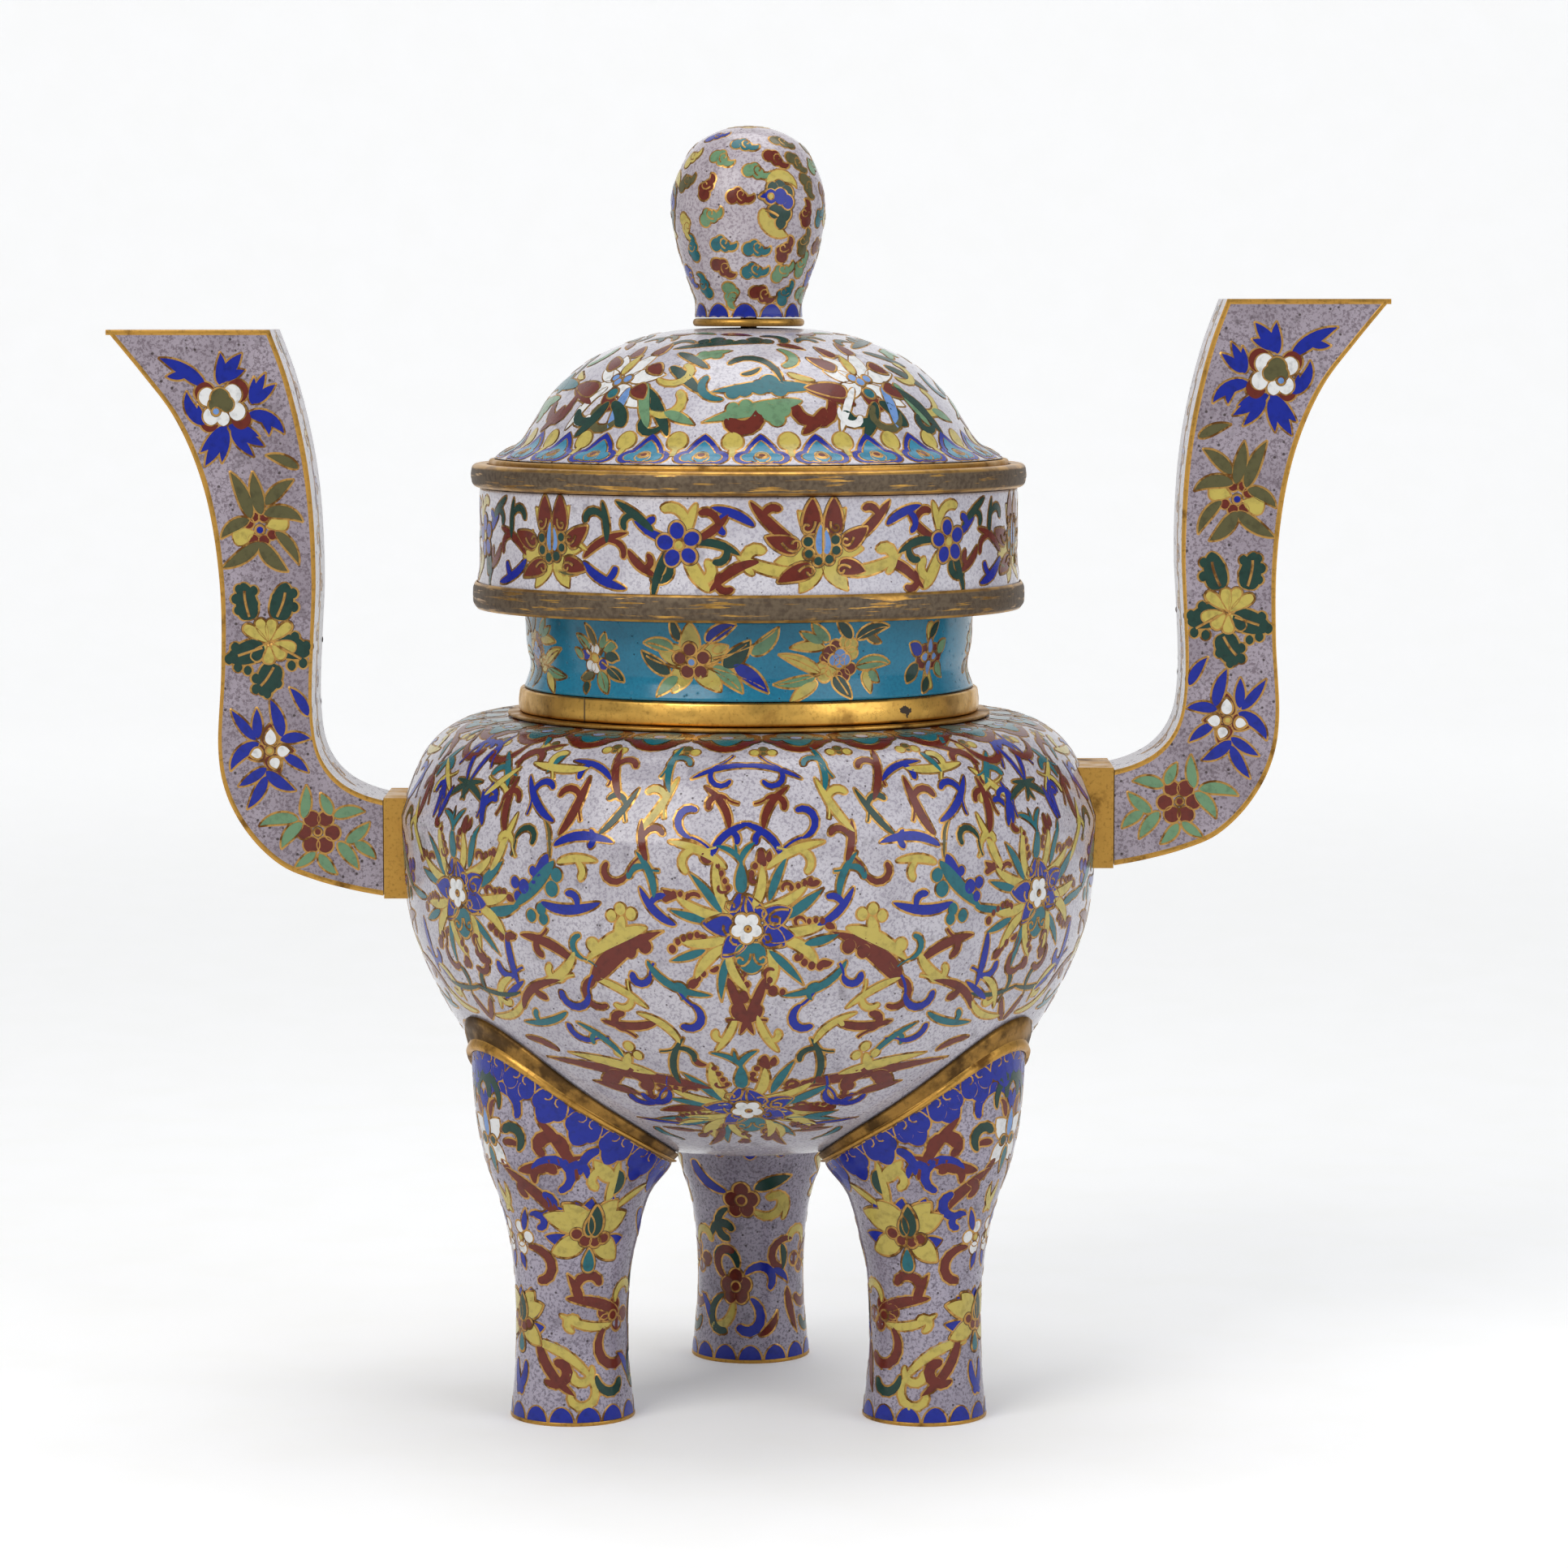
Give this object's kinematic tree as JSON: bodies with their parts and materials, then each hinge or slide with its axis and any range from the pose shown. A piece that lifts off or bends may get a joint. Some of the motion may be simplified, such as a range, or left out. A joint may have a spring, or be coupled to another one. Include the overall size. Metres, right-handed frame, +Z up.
{
  "type": "tripod incense burner",
  "caption": "Bellied tripod incense burner in enamel with gilt rings, upswept side handles, a lift-out neck section and a lift-off domed cover with a bud finial.",
  "frame": {"origin": "on the ground under the body's upright axis, at the middle of the handles' span", "axes": "+Z up; +X to the right handle; the front, with two of the legs, faces -Y"},
  "size_m": [0.3922, 0.2158, 0.3946],
  "materials": {
    "body_enamel": "glossy white-lavender enamel speckled with dark pits, with many-coloured scrolls in gilt wire",
    "white_enamel": "glossy white enamel with faint speckling, flowers and scrolls in gilt wire",
    "leg_enamel": "glossy grey-lavender enamel, pitted, with lotus scrolls and a cobalt border in gilt wire",
    "handle_enamel": "glossy grey-lavender enamel with flower sprigs, framed by worn gilt edges",
    "finial_enamel": "glossy pale enamel scattered with small clouds in gilt wire",
    "turquoise_enamel": "glossy turquoise enamel with flower sprigs in gilt wire",
    "gilt": "bright gilding, rubbed at the edges",
    "worn_gilt": "brown worn gilding with bright rubbed edges",
    "brass": "plain dull brass"
  },
  "bodies": {
    "vessel": {"body_shell": "body_enamel", "body_mouth_ring": "gilt", "leg_left": "leg_enamel", "leg_collar_left": "gilt", "leg_saddle_left": "brass", "leg_foot_left": "gilt", "leg_stud_left": "brass", "leg_nut_left": "brass", "leg_right": "leg_enamel", "leg_collar_right": "gilt", "leg_saddle_right": "brass", "leg_foot_right": "gilt", "leg_stud_right": "brass", "leg_nut_right": "brass", "leg_rear": "leg_enamel", "leg_collar_rear": "gilt", "leg_saddle_rear": "brass", "leg_foot_rear": "gilt", "leg_stud_rear": "brass", "leg_nut_rear": "brass", "handle_left": "handle_enamel", "handle_collar_left": "gilt", "handle_stud_left_front": "brass", "handle_nut_left_front": "brass", "handle_stud_left_rear": "brass", "handle_nut_left_rear": "brass", "handle_right": "handle_enamel", "handle_collar_right": "gilt", "handle_stud_right_front": "brass", "handle_nut_right_front": "brass", "handle_stud_right_rear": "brass", "handle_nut_right_rear": "brass"},
    "neck_section": {"neck_ring": "gilt", "neck_band": "turquoise_enamel", "dish_floor": "worn_gilt", "dish_band": "white_enamel", "dish_lower_ring": "worn_gilt", "dish_upper_ring": "worn_gilt"},
    "cover": {"cover_rim": "gilt", "cover_dome": "white_enamel", "finial_bud": "finial_enamel", "finial_ring": "gilt", "finial_stud": "brass", "finial_nut": "brass"}
  },
  "joints": [
    {"name": "neck_lift", "type": "slide", "parent": "vessel", "child": "neck_section", "axis": [0, 0, 1], "range_m": [0, 0.06]},
    {"name": "cover_lift", "type": "slide", "parent": "neck_section", "child": "cover", "axis": [0, 0, 1], "range_m": [0, 0.08]}
  ]
}
